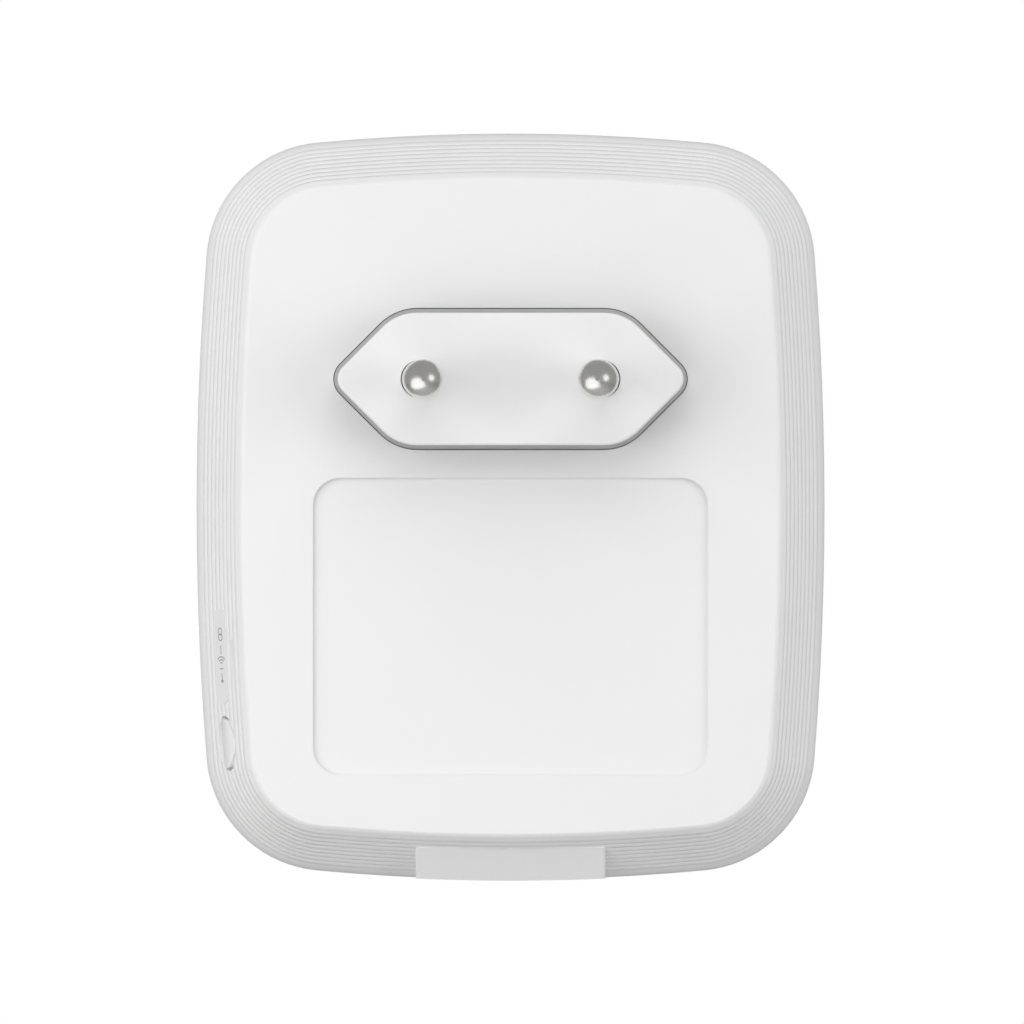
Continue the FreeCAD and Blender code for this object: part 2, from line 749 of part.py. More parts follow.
def make_plug_insert():
    body = new_body("insert_body")
    face = new_sketch(body, "face", "XZ_Plane")
    draw(face, hexagon(0))
    foot = new_sketch(body, "foot", "XZ_Plane", -BACK)
    draw(foot, hexagon(s.boss_draft))
    boss = body.newObject("PartDesign::AdditiveLoft", "boss")
    boss.Profile = face
    boss.Sections = [foot]
    boss.Ruled = True
    layer(body, "Pad", "neck", BACK, s.wall, lambda sketch: draw(sketch, hexagon(s.boss_draft)))
    layer(body, "Pad", "flange", INNER, s.flange_thick, lambda sketch: draw(sketch, hexagon(s.flange_lap)))
    soften(body, "face_edge", s.face_round, lambda edge: edge.BoundBox.YMax < 1e-3)
    doc.recompute()
    tools = []
    for side in (-1, 1):
        for radius, start, length in (
            (s.sleeve_wide / 2, -1, INNER + s.flange_thick + 2),
            (s.sleeve_wide / 2 + s.sleeve_ring, -1, s.ring_depth + 1),
        ):
            bore = doc.addObject("Part::Cylinder", "sleeve_bore")
            bind(bore, Radius=radius, Height=length)
            turn = Rotation(Vector(1, 0, 0), -90)
            tilt = pin_tilt(side)
            bore.Placement = tilt.multiply(Placement(Vector(0, start, 0), turn))
            tools.append(bore)
    return finished(cut("plug_insert", body, tools), "plug_insert")


def turned(name, label, path, side):
    """Turns a profile, drawn with its radius across and Y up, about one pin's axis."""
    body = doc.addObject("PartDesign::Body", name)
    doc.recompute()
    sketch = new_sketch(body, name + "_profile", "XY_Plane")
    draw(sketch, path)
    feature = body.newObject("PartDesign::Revolution", name + "_turned")
    feature.Profile = sketch
    feature.ReferenceAxis = (sketch, ["V_Axis"])
    feature.Angle = 360
    body.Placement = pin_tilt(side)
    return finished(body, label)


def make_pins():
    pin, core = s.pin_wide / 2, s.pin_core / 2
    tail = INNER + s.flange_thick + s.pin_tail
    tip_bow = pin * (1 - math.cos(math.pi / 4))
    metal = [(0, tail), (0, -s.pin_reach), (pin, pin - s.pin_reach, tip_bow), (pin, -s.sleeve_reach),
             (core, -s.sleeve_reach), (core, tail)]
    sleeve = s.sleeve_wide / 2
    tube = [(core, INNER + s.flange_thick), (core, -s.sleeve_reach), (sleeve, -s.sleeve_reach),
            (sleeve, INNER + s.flange_thick)]
    for side, pole in ((-1, "live"), (1, "neutral")):
        turned("pin_%s" % pole, "pin_%s" % pole, metal, side)
        turned("pin_sleeve_%s" % pole, "pin_sleeve_%s" % pole, tube, side)


def make_contact_springs():
    """A bent strip under the power board presses on the end of each pin."""
    tail = INNER + s.flange_thick + s.pin_tail + 0.05
    for side, pole in ((-1, "live"), (1, "neutral")):
        name = "contact_spring_%s" % pole
        across = side * (s.pin_pitch / 2 + 0.4)
        reach = block(name + "_reach", 9, SPRING, 4, across, tail, s.plug_rise)
        doc.recompute()
        rise = POWER_BACK - tail
        heel = block(name + "_heel", SPRING, rise, 4, across - side * 4.3, tail, s.plug_rise)
        foot = block(name + "_foot", 3.2, SPRING, 4, across - side * 5.8, POWER_BACK - SPRING, s.plug_rise)
        finished(fused(name, [reach, heel, foot]), name)


# ---------------------------------------------------------------- push button

def make_pair_button():
    """The key: a cap through the sloped wall, a flange that keeps it in and an arm to the switch."""
    body = new_body("pair_button")
    level = slope_out(s.slope_inset / 2)
    cap = lens(s.button_width, s.button_height, level, -s.button_drop)
    across_layer(body, "Pad", "cap", -s.half_wide - 1, s.half_wide + 1 - BUTTON_INNER + 0.5,
                 lambda sketch: draw(sketch, cap))
    trimmed = body.newObject("PartDesign::Pocket", "trim")
    trimmed.Profile = on_slope(body, "trim", s.button_drop, s.button_rise,
                               lambda sketch: draw(sketch, above_dome()), upright=True)
    trimmed.SideType = "Symmetric"
    bind(trimmed, Length=s.button_height * 2)
    low = INNER + s.button_gap * 2
    flange = rectangle(4.2, s.button_height + 1.6, low + 2.1, -s.button_drop)
    across_layer(body, "Pad", "flange", -BUTTON_INNER, 1, lambda sketch: draw(sketch, flange))
    top = MAIN_BACK - 0.8
    arm = rectangle(top - low, 3, (top + low) / 2, -s.button_drop)
    across_layer(body, "Pad", "arm", -BUTTON_INNER, 2, lambda sketch: draw(sketch, arm))
    nose = rectangle(1.6, 3, SWITCH_LEVEL, -s.button_drop)
    reach = PLUNGER_TIP - s.contact_gap + BUTTON_INNER
    across_layer(body, "Pad", "nose", -BUTTON_INNER, reach, lambda sketch: draw(sketch, nose))
    return finished(body, "pair_button")


def above_dome():
    """What is cut away over the cap's domed end, seen along the slope."""
    half = s.button_dome * 0.86
    sag = s.button_dome - (s.button_dome * s.button_dome - half * half).root()
    left, right = s.button_shift - half, s.button_shift + half
    return [(left, -sag), (right, -sag, -sag), (right, 6), (left - 6, 6)]


def make_switch():
    """The tactile switch on the main board, with its own sprung plunger."""
    face = PLUNGER_TIP + 0.8
    depth = 2.4
    body = block("switch_case", 6, 4, 6.2, face + 3, MAIN_BACK - 4, -s.button_drop)
    mouth = block("switch_mouth", depth + 1, 1.8, 2.8, face + (depth - 1) / 2, SWITCH_LEVEL - 0.9,
                  -s.button_drop)
    finished(cut("switch_body", body, [mouth]), "switch_body")
    length = 0.8 + depth - s.button_travel * 2
    plunger = block("switch_plunger", length, 1.6, 2.6, PLUNGER_TIP + length / 2, SWITCH_LEVEL - 0.8,
                    -s.button_drop)
    finished(plunger, "switch_plunger")


# ---------------------------------------------------------------- boards and fasteners

def make_power_board():
    body = new_body("power_board")
    layer(body, "Pad", "sheet", POWER_BACK, s.board_thick, lambda sketch: outline(sketch, s.power_inset))
    gone = rectangle(s.half_wide * 2 + 4, s.half_tall, 0, -s.power_bottom - s.half_tall / 2)
    layer(body, "Pocket", "lower_edge", POWER_BACK - 1, s.board_thick + 2,
          lambda sketch: draw(sketch, gone))
    drill(body, POWER_BACK, [(across, up, s.pilot_radius + 0.3) for across, up in power_posts()])
    drill(body, POWER_BACK, [(across, LINK_UP, LINK_PIN) for across in link_places()])
    finished(body, "power_board")


def make_main_board():
    body = new_body("main_board")
    layer(body, "Pad", "sheet", MAIN_BACK, s.board_thick, lambda sketch: outline(sketch, s.board_inset))
    gone = rectangle(s.half_wide * 2 + 4, s.half_tall, 0, s.main_top + s.half_tall / 2)
    layer(body, "Pocket", "upper_edge", MAIN_BACK - 1, s.board_thick + 2,
          lambda sketch: draw(sketch, gone))
    drill(body, MAIN_BACK, [(across, up, s.pilot_radius + 0.3) for across, up in main_posts()])
    drill(body, MAIN_BACK, [(across, LINK_UP, LINK_PIN) for across in link_places()])
    finished(body, "main_board")


def drill(body, level, holes):
    """Drills round holes through a board."""
    for across, up, radius in holes:
        layer(body, "Pocket", "hole", level - 1, s.board_thick + 2,
              lambda sketch: circle(sketch, radius, across, up))


def make_screws(name, places, seat, way):
    """Small cross-head screws; way is 1 where they point into the room and -1 where they point back."""
    screws = []
    slot_long, slot_wide, slot_deep = 1.9, 0.4, 0.5
    for across, up in places:
        head_start = seat - s.screw_head_thick if way > 0 else seat
        shank_start = seat if way > 0 else seat - s.screw_reach
        head = rod(name + "_head", s.screw_head, s.screw_head_thick, across, head_start, up)
        slot_start = head_start if way > 0 else head_start + s.screw_head_thick - slot_deep
        slots = [block(name + "_slot", wide, slot_deep, tall, across, slot_start, up)
                 for wide, tall in ((slot_long, slot_wide), (slot_wide, slot_long))]
        shank = rod(name + "_shank", s.pilot_radius, s.screw_reach, across, shank_start, up)
        screws.append(fused(name + "_screw", [cut(name, head, slots), shank]))
    finished(group(name, screws), name)


def link_places():
    return [LINK_X + (i - 1.5) * LINK_PITCH for i in range(4)]


def make_board_link():
    """The pin header that joins the two boards."""
    housing = block("link_case", LINK_PITCH * 4, s.board_gap, LINK_PITCH, LINK_X, POWER_FACE, LINK_UP)
    tunnels = [rod("link_tunnel", LINK_PIN, s.board_gap, across, POWER_FACE, LINK_UP)
               for across in link_places()]
    finished(cut("board_link", housing, tunnels), "board_link")
    overall = s.board_gap + s.board_thick * 2 + 0.7
    pins = [rod("link_pin", LINK_PIN, overall, across, POWER_BACK - 0.7, LINK_UP)
            for across in link_places()]
    finished(group("link_pins", pins), "link_pins")


# ---------------------------------------------------------------- electronic parts

def chip(name, width, depth, height, across, start, up, legs=0, pitch=1.27, back=False):
    """A moulded chip with legs down both long sides; back is set on a board's rear side."""
    leg_long, leg_thick, leg_wide, leg_out = 1.1, 0.2, 0.4, 0.45
    case = block(name + "_case", width, depth, height, across, start, up)
    pieces = [case]
    foot = start + depth - leg_thick if back else start
    for i in range(legs):
        place = up + (i - (legs - 1) / 2) * pitch
        for side in (-1, 1):
            middle = across + side * (sized(width) / 2 + leg_out)
            pieces.append(block(name + "_leg", leg_long, leg_thick, leg_wide, middle, foot, place))
    item = fused(name, pieces) if legs else case
    return finished(item, name)


def can(name, radius, length, across, up):
    """A round electrolytic capacitor that stands on the power board, with its rolled-in neck."""
    case = rod(name + "_case", radius, length, across, POWER_FACE, up)
    neck_round, neck_bite, neck_rise = 0.6, 0.35, 1.6
    neck = doc.addObject("Part::Torus", name + "_neck")
    bind(neck, Radius1=radius + neck_round - neck_bite, Radius2=neck_round)
    neck.Placement = Placement(Vector(), Rotation(Vector(1, 0, 0), 90))
    bind(neck, Placement__Base__x=across, Placement__Base__y=POWER_FACE + neck_rise)
    bind(neck, Placement__Base__z=up - s.plug_rise)
    return finished(cut(name, case, [neck]), name)


def make_transformer(across, up):
    """The flyback transformer: a ferrite frame round a wound bobbin."""
    start = POWER_FACE + 0.8
    frame_wide, frame_deep, limb, frame_tall = 17, 13.6, 2, 5
    frame = block("core_frame", frame_wide, frame_deep, frame_tall, across, start, up)
    hole = block("core_hole", frame_wide - limb * 2, frame_deep - limb * 2, frame_tall + 1, across,
                 start + limb, up)
    finished(cut("transformer_core", frame, [hole]), "transformer_core")
    winding = eased("transformer_winding", block("winding", 12.4, 9, 11.6, across, start + 2.3, up), 1.2,
                    lambda edge: edge.BoundBox.ZLength > 5)
    finished(winding, "transformer_winding")
    flanges = [block("flange", 14.6, 11, 0.9, across, start + 1.3, up + side * 6.25) for side in (-1, 1)]
    finished(group("transformer_bobbin", flanges), "transformer_bobbin")


def make_choke(across, up):
    """The line choke: a ferrite ring lying flat, with a winding on each half."""
    ring_radius, core_thick, wound_thick, half_turn = 3.9, 1.5, 2.0, 140

    def ring(name, tube, start, stop):
        torus = doc.addObject("Part::Torus", name)
        torus.Angle3 = stop - start
        torus.Placement = Placement(Vector(), Rotation(Vector(1, 0, 0), -90) * Rotation(Vector(0, 0, 1), start))
        bind(torus, Radius1=ring_radius, Radius2=tube, Placement__Base__x=across)
        bind(torus, Placement__Base__y=POWER_FACE + 2.2, Placement__Base__z=up - s.plug_rise)
        return torus

    finished(ring("choke_core", core_thick, 0, 360), "choke_core")
    halves = [cut("winding", ring("winding_half", wound_thick, start, start + half_turn),
                  [ring("winding_hole", core_thick, 0, 360)]) for start in (20, 200)]
    finished(group("choke_winding", halves), "choke_winding")


def make_power_parts():
    high = s.half_tall - 14
    make_transformer(across=11, up=high)
    can("bulk_capacitor_left", radius=4, length=14, across=-14.6, up=high + 1.5)
    can("bulk_capacitor_right", radius=4, length=14, across=-5, up=high + 1.5)
    can("output_capacitor", radius=3.15, length=8, across=23, up=12)
    make_choke(across=6, up=7)
    finished(rod("fuse", 1.8, 8, -24.5, POWER_FACE + 1.8, 9.5, "x"), "fuse")
    finished(rod("varistor", 3.5, 3, -14, POWER_FACE + 3.6, 5, "x"), "varistor")
    finished(eased("filter_capacitor", block("film", 11, 7.5, 5, -3, POWER_FACE, -0.8), 0.5),
             "filter_capacitor")
    chip("bridge_rectifier", width=5, depth=2.3, height=4, across=-6, start=POWER_FACE, up=9, legs=2, pitch=2.4)
    chip("power_controller", width=3.9, depth=1.5, height=4.9, across=15.5, start=POWER_FACE, up=9, legs=4)
    chip("optocoupler", width=4.6, depth=3.3, height=4.6, across=17, start=POWER_FACE, up=-0.6, legs=2,
         pitch=2.54)
    finished(rod("safety_capacitor", 3, 2.8, 10.2, POWER_FACE + 3.1, -0.4, "x"), "safety_capacitor")
    chip("output_diode", width=4.4, depth=2.2, height=3.6, across=22.8, start=POWER_FACE, up=20, legs=1)


def make_ethernet_socket():
    """The network socket: a moulded housing, its spring contacts and a metal shield."""
    sheet_gap = s.shield_thick
    up = JACK_FOOT + s.jack_depth / 2
    inner_width = s.jack_width - sheet_gap * 2
    outer = block("shield_outer", s.jack_width, s.jack_height, s.jack_depth, 0, JACK_BACK, up)
    room = block("shield_room", inner_width, s.jack_height, s.jack_depth, 0, JACK_BACK + sheet_gap,
                 up - sheet_gap)
    finished(cut("port_shield", outer, [room]), "port_shield")
    inner_depth = s.jack_depth - sheet_gap
    case = block("port_case", inner_width, s.jack_height - sheet_gap, inner_depth, 0,
                 JACK_BACK + sheet_gap, JACK_FOOT + inner_depth / 2)
    port_start = MAIN_BACK - PORT_FLOOR - s.port_height
    port = block("port_room", s.port_width, s.port_height, s.port_depth, 0, port_start,
                 JACK_FOOT + s.port_depth / 2)
    latch = block("latch_room", s.latch_width, s.latch_height + 0.5, s.port_depth, 0,
                  port_start - s.latch_height, JACK_FOOT + s.port_depth / 2)
    finished(cut("port_housing", case, [port, latch]), "port_housing")
    ceiling = port_start + s.port_height
    contacts = []
    ways, pitch, wire_wide, wire_thick, wire_long, lean = 8, 1.02, 0.45, 0.3, 8.4, 12
    for i in range(ways):
        across = (i - (ways - 1) / 2) * pitch
        wire = doc.addObject("Part::Box", "contact")
        wire.Placement = Placement(Vector(), Rotation(Vector(1, 0, 0), lean))
        bind(wire, Length=wire_wide, Width=wire_thick, Height=wire_long)
        bind(wire, Placement__Base__x=across - wire_wide / 2, Placement__Base__y=ceiling - 0.5)
        bind(wire, Placement__Base__z=JACK_FOOT + 3 - s.plug_rise)
        contacts.append(wire)
    finished(group("port_contacts", contacts), "port_contacts")


def make_main_parts():
    back = MAIN_BACK
    chip("line_transformer", width=9.5, depth=4.8, height=13, across=0, start=back - 4.8,
         up=JACK_FOOT + s.jack_depth + 8.2, legs=8, pitch=1.5, back=True)
    chip("flash_memory", width=5.2, depth=1.8, height=5.2, across=15, start=back - 1.8, up=-12, legs=4,
         back=True)
    finished(eased("clock_crystal", block("crystal", 3.2, 1, 2.5, -11.5, back - 1, -14), 0.2), "clock_crystal")
    finished(eased("power_inductor", block("inductor", 5, 2.6, 5, 15, back - 2.6, -22), 0.8,
                   lambda edge: edge.BoundBox.YLength > 1), "power_inductor")
    can_wide, can_deep, can_tall, pad_thick = 27, 2.3, 21, 0.8
    outer = block("can_outer", can_wide, can_deep, can_tall, 0, MAIN_FACE, CAN_UP)
    room = block("can_room", can_wide - s.shield_thick * 2, can_deep - s.shield_thick,
                 can_tall - s.shield_thick * 2, 0, MAIN_FACE, CAN_UP)
    finished(cut("shield_can", outer, [room]), "shield_can")
    finished(block("radio_chip", 12, 1.1, 12, -5, MAIN_FACE, CAN_UP), "radio_chip")
    finished(block("memory_chip", 7.5, 1.1, 11, 7.5, MAIN_FACE, CAN_UP), "memory_chip")
    finished(block("thermal_pad", 20, pad_thick, 15, 0, MAIN_FACE + can_deep, CAN_UP), "thermal_pad")
    spreader = block("spreader", 30, 1.5, 23, 0, MAIN_FACE + can_deep + pad_thick, CAN_UP)
    finished(eased("heat_spreader", spreader, 0.4), "heat_spreader")
    finished(block("insulation_sheet", 36, 0.25, s.main_top - 1.2, -1, back - 0.25, s.main_top / 2 + 0.4),
             "insulation_sheet")
    lights = [block("led", 1.6, 0.8, 1.6, across, MAIN_FACE, -s.window_drop)
              for across in (-s.window_pitch, 0, s.window_pitch)]
    finished(group("status_leds", lights), "status_leds")


def make_light_guide():
    """One clear moulding that carries the three lights to the front."""
    body = new_body("light_guide")
    start = MAIN_FACE + 1.2
    for across in (-s.window_pitch, 0, s.window_pitch):
        post = pill(s.window_width, s.window_length, across, -s.window_drop)
        layer(body, "Pad", "post", start, FRONT - start, lambda sketch: draw(sketch, post))
    bar = rectangle(s.window_pitch * 2 + 4, s.window_length + 1.4, 0, -s.window_drop)
    layer(body, "Pad", "bar", FRONT - s.wall - 1.5, 1.5, lambda sketch: draw(sketch, bar))
    finished(body, "light_guide")


# ---------------------------------------------------------------- aerials

def make_aerials():
    for side, hand in ((-1, "left"), (1, "right")):
        finished(block("aerial_" + hand, s.aerial_thick, s.aerial_height, s.aerial_length,
                       side * AERIAL_X, MAIN_FACE + 1, AERIAL_UP), "aerial_" + hand)
        make_lead(side, hand)
        plug = rod("aerial_plug_" + hand, 1.3, 1.3, side * PLUG_X, MAIN_FACE, LEAD_UP)
        finished(plug, "aerial_plug_" + hand)


def make_lead(side, hand):
    """The thin coaxial lead: up the aerial's face, round one bend and across to its plug."""
    body = new_body("aerial_lead_" + hand)
    level = MAIN_FACE + 1.3 + s.coax_radius
    rise = side * (AERIAL_X - s.aerial_thick / 2 - s.coax_radius)
    start = AERIAL_UP - s.aerial_length / 2 + 1
    path = new_sketch(body, "route", "XZ_Plane", -level)
    bend = s.coax_radius * 6
    corner = side * (sized(rise) * side - bend)
    route = [(rise, start), (rise, LEAD_UP - bend), (corner, LEAD_UP), (side * sized(PLUG_X), LEAD_UP)]
    points = [Vector(sized(across).value, sized(up).value, 0) for across, up in route]
    low = path.addGeometry(Part.LineSegment(points[0], points[1]), False)
    mid = points[1] + Vector(points[2].x - points[1].x, 0, 0)
    turn = Part.Circle(mid, Vector(0, 0, 1), bend.value)
    span = (0, math.pi / 2) if side > 0 else (math.pi / 2, math.pi)
    arc = path.addGeometry(Part.ArcOfCircle(turn, *span), False)
    high = path.addGeometry(Part.LineSegment(points[2], points[3]), False)
    first, last = (1, 2) if side > 0 else (2, 1)
    path.addConstraint(Sketcher.Constraint("Tangent", low, 2, arc, first))
    path.addConstraint(Sketcher.Constraint("Tangent", arc, last, high, 1))
    pin_down(path, low, 1, *route[0])
    pin_down(path, high, 2, *route[3])
    path.addConstraint(Sketcher.Constraint("Vertical", low))
    path.addConstraint(Sketcher.Constraint("Horizontal", high))
    rule(path, "Radius", arc, size=bend)
    section = new_sketch(body, "section", "XY_Plane", start)
    circle(section, s.coax_radius, rise, level)
    doc.recompute()
    lead = body.newObject("PartDesign::AdditivePipe", "lead")
    lead.Profile = section
    lead.Spine = (path, ["Edge1", "Edge2", "Edge3"])
    lead.Mode = "Frenet"
    finished(body, "aerial_lead_" + hand)


# ---------------------------------------------------------------- everything

def make_all():
    make_rear_cover()
    make_front_cover()
    make_plug_insert()
    make_pins()
    make_contact_springs()
    make_pair_button()
    make_switch()
    make_power_board()
    make_screws("power_screws", power_posts(), POWER_FACE, -1)
    make_power_parts()
    make_main_board()
    make_screws("main_screws", main_posts(), MAIN_BACK, 1)
    make_board_link()
    make_ethernet_socket()
    make_main_parts()
    make_light_guide()
    make_aerials()


def check_and_write():
    doc.recompute()
    for item in doc.Objects:
        if "Invalid" in item.State or "Error" in item.State:
            raise RuntimeError("%s did not build: %s" % (item.Name, item.State))
    os.makedirs("parts", exist_ok=True)
    for item in subparts:
        if item.Shape.isNull() or not item.Shape.isValid():
            raise RuntimeError("%s has no valid shape" % item.Label)
    for item in subparts:
        item.Shape.exportStep("parts/%s.step" % item.Label)
        print("%-24s %10.1f mm3  %d solids" % (item.Label, item.Shape.Volume, len(item.Shape.Solids)))


make_all()
check_and_write()
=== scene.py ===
import math

import bmesh
import bpy
from mathutils import Matrix, Vector


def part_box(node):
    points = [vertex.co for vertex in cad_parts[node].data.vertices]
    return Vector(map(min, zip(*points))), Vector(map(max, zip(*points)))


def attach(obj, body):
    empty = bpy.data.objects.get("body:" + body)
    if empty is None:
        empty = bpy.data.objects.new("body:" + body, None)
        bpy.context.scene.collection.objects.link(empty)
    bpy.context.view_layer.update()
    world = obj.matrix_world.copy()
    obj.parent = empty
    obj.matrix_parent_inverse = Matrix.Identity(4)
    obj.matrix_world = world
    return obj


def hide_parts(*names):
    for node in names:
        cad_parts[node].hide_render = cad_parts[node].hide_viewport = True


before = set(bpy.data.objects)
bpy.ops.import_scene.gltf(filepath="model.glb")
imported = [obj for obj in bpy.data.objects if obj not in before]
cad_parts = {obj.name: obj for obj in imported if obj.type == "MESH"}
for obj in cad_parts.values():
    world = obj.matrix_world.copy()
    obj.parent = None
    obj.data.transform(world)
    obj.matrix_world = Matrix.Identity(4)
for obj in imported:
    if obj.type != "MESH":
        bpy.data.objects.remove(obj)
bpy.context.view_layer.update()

MM = 0.001
CREASE = math.radians(24)
WELD_DISTANCE = 0.0002 * MM
LINES_PER_UNIT = 3.1416  # about how many lines a wave texture of scale 1 draws along one unit


# ---------------------------------------------------------------- shader expressions

class Signal:
    """A socket in a finish's node tree. Its operators add the nodes that they stand for."""

    def __init__(self, finish, socket):
        self.finish = finish
        self.socket = socket

    def worked(self, operation, *inputs):
        return self.finish.node("ShaderNodeMath", {"operation": operation}, *inputs)

    def __add__(self, other):
        return self.worked("ADD", self, other)

    def __radd__(self, other):
        return self.worked("ADD", other, self)

    def __sub__(self, other):
        return self.worked("SUBTRACT", self, other)

    def __rsub__(self, other):
        return self.worked("SUBTRACT", other, self)

    def __mul__(self, other):
        return self.worked("MULTIPLY", self, other)

    def __rmul__(self, other):
        return self.worked("MULTIPLY", other, self)

    def __gt__(self, other):
        return self.worked("GREATER_THAN", self, other)

    def __lt__(self, other):
        return self.worked("LESS_THAN", self, other)

    def __abs__(self):
        return self.worked("ABSOLUTE", self)

    def ramp(self, low, high):
        """Rises smoothly from 0 at low to 1 at high."""
        settings = {"interpolation_type": "SMOOTHSTEP"}
        return self.finish.node("ShaderNodeMapRange", settings, self, low, high)


class Finish:
    """One material: a Principled shader and the nodes that feed it. Lengths are in millimetres."""

    def __init__(self, name, **constants):
        self.material = bpy.data.materials.new(name)
        self.material.use_nodes = True
        self.tree = self.material.node_tree
        self.tree.nodes.clear()
        self.shader = self.tree.nodes.new("ShaderNodeBsdfPrincipled")
        output = self.tree.nodes.new("ShaderNodeOutputMaterial")
        self.tree.links.new(self.shader.outputs[0], output.inputs["Surface"])
        for socket, value in constants.items():
            self.shader.inputs[socket.replace("_", " ")].default_value = value
        self.place = self.node("ShaderNodeVectorMath", {"operation": "SCALE"},
                               self.node("ShaderNodeTexCoord", out="Object"), Scale=1 / MM)
        split = self.node("ShaderNodeSeparateXYZ", {}, self.place)
        sockets = split.socket.node.outputs
        self.across, self.level, self.up = (Signal(self, socket) for socket in sockets)

    def node(self, kind, settings=None, *inputs, out=0, **named):
        """Adds a node: its settings first, then the values or signals of its sockets."""
        made = self.tree.nodes.new(kind)
        for name, value in (settings or {}).items():
            setattr(made, name, value)
        for index, value in enumerate(inputs):
            self.feed(made.inputs[index], value)
        for name, value in named.items():
            self.feed(made.inputs[name.replace("_", " ")], value)
        return Signal(self, made.outputs[out])

    def feed(self, socket, value):
        if isinstance(value, Signal):
            self.tree.links.new(value.socket, socket)
        elif socket.type == "RGBA":
            socket.default_value = (*value, 1)
        else:
            socket.default_value = value

    def set(self, socket, value):
        self.feed(self.shader.inputs[socket], value)

    def mixed(self, share, one, other):
        """A colour between two colours."""
        made = self.tree.nodes.new("ShaderNodeMix")
        made.data_type = "RGBA"
        self.feed(made.inputs[0], share)
        self.feed(made.inputs[6], one)
        self.feed(made.inputs[7], other)
        return Signal(self, made.outputs[2])

    def noise(self, size, detail=2.0, rough=0.5, stretch=None):
        """A cloudy value from 0 to 1 with lumps of a given size; stretch lengthens them along X, Y and Z."""
        place = self.place
        if stretch:
            place = self.node("ShaderNodeMapping", {}, place, Scale=tuple(1 / part for part in stretch))
        return self.node("ShaderNodeTexNoise", {}, place, Scale=1 / size, Detail=detail, Roughness=rough)

    def cells(self, size):
        """The distance to the nearest of some scattered points."""
        return self.node("ShaderNodeTexVoronoi", {"feature": "F1"}, self.place, Scale=1 / size)

    def rings(self, axis, pitch, distortion=0.0):
        """Fine lines square to an axis."""
        settings = {"bands_direction": axis, "wave_profile": "SIN"}
        return self.node("ShaderNodeTexWave", settings, self.place,
                         Scale=1 / (pitch * LINES_PER_UNIT), Distortion=distortion)

    def relief(self, height, depth):
        """Feeds a height from 0 to 1 to the normal, as bumps of a depth in millimetres."""
        self.set("Normal", self.node("ShaderNodeBump", {}, Strength=1.0, Distance=depth * MM, Height=height))


def tinted(colour, gain):
    return tuple(min(part * gain, 1.0) for part in colour)


def box_mm(node):
    """The lowest and highest corner of a CAD node's box, in millimetres."""
    return [tuple(part / MM for part in corner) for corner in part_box(node)]


def back_level(node):
    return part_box(node)[0][1] / MM


def face_level(node):
    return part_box(node)[1][1] / MM


# ---------------------------------------------------------------- finishes

def moulded(name, colour, roughness=0.42, grain=0.16, depth=0.004, **constants):
    """Injection moulded plastic: a fine spark-eroded grain and slight unevenness in tone and gloss."""
    made = Finish(name, **constants)
    tone = made.noise(9.0, 3.0)
    made.set("Base Color", made.mixed(tone, tinted(colour, 0.985), tinted(colour, 1.0)))
    grains = made.noise(grain, 3.0, 0.6)
    made.set("Roughness", roughness - 0.04 + 0.05 * made.noise(2.5) + 0.03 * grains)
    made.relief(grains, depth)
    return made.material


def plug_moulding(colour):
    """The plug's white moulding; its drafted wall is painted grey as painted shade, and is rougher than its
    polished face.
    """
    made = Finish("plug_plastic")
    face_edge, edge_width = 0.12, 0.25
    wall = made.level.ramp(face_edge, face_edge + edge_width)
    grain = made.noise(0.2, 3.0, 0.6)
    face = made.mixed(made.noise(9.0, 3.0), tinted(colour, 0.985), colour)
    # painted shade: the drafted wall is the same white plastic, painted grey along the steep wall
    grey = made.mixed(grain, (0.33, 0.33, 0.33), (0.37, 0.37, 0.37))
    made.set("Base Color", made.mixed(wall * 0.95, face, grey))
    made.set("Roughness", 0.36 + 0.2 * wall + 0.04 * grain)
    made.relief(grain, 0.004)
    return made.material


def nickel():
    """Polished nickel plate with faint turning marks round the pin."""
    made = Finish("nickel_plate", Metallic=1.0)
    marks = made.rings("Y", 0.12, 1.5)
    haze = made.noise(1.2, 4.0)
    made.set("Base Color", made.mixed(haze, (0.72, 0.715, 0.70), (0.80, 0.795, 0.78)))
    made.set("Roughness", 0.24 + 0.05 * haze + 0.02 * marks)
    made.relief(marks, 0.0006)
    return made.material


def rolled_metal(name, colour, roughness=0.3, grain_axis=(1, 1, 8)):
    """Rolled or plated sheet: long fine streaks with a little tarnish."""
    made = Finish(name, Metallic=1.0)
    streaks = made.noise(0.12, 3.0, 0.6, grain_axis)
    tarnish = made.noise(2.2, 3.0)
    made.set("Base Color", made.mixed(tarnish, tinted(colour, 0.85), colour))
    made.set("Roughness", roughness - 0.06 + 0.10 * streaks + 0.06 * tarnish)
    made.relief(streaks, 0.002)
    return made.material


def machine_screw():
    """Zinc plate with turning marks on the head."""
    made = Finish("zinc_plate", Metallic=1.0)
    haze = made.noise(0.5, 3.0)
    made.set("Base Color", made.mixed(haze, (0.50, 0.51, 0.53), (0.66, 0.67, 0.68)))
    made.set("Roughness", 0.28 + 0.12 * haze)
    made.relief(made.rings("Y", 0.4), 0.01)
    return made.material


